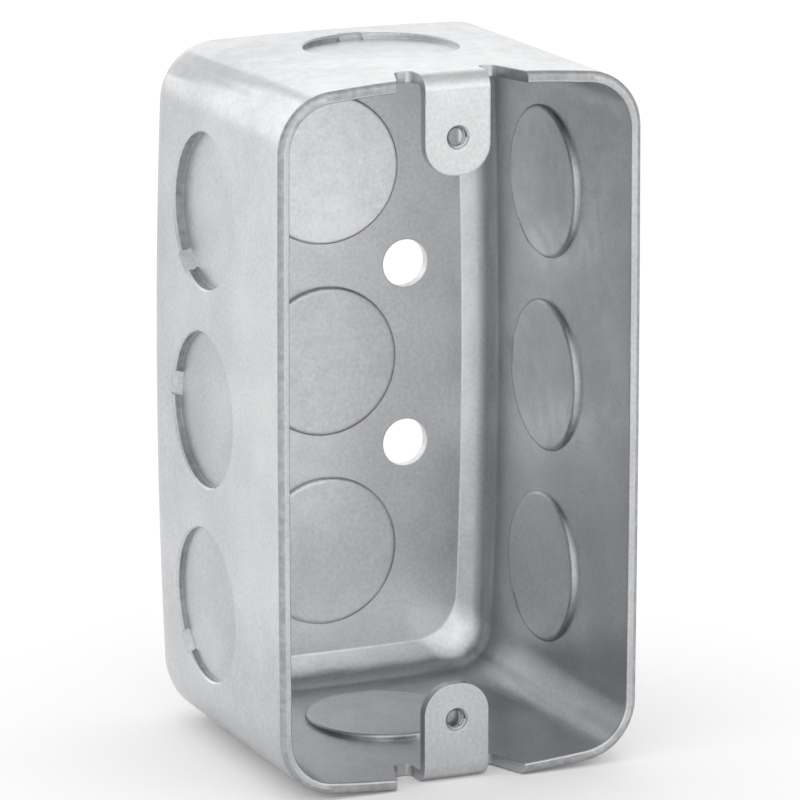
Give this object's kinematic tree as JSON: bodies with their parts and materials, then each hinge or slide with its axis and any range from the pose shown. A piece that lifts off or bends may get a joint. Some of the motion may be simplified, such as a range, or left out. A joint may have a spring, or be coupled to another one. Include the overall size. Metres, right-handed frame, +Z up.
{
  "type": "handy box",
  "caption": "Drawn steel utility box, open at the front, with round knockouts, bent ears for a cover's screws and fixing holes in its back.",
  "frame": {"origin": "on the front of the ears, midway between the two cover screws", "axes": "+Z up the box's length, -Y out of its opening, +X to the right as seen from the front"},
  "size_m": [0.0554, 0.0506, 0.1012],
  "materials": {
    "galvanised_steel": "galvanised, satin"
  },
  "bodies": {
    "root": {"handy_box": "galvanised_steel"}
  },
  "joints": []
}
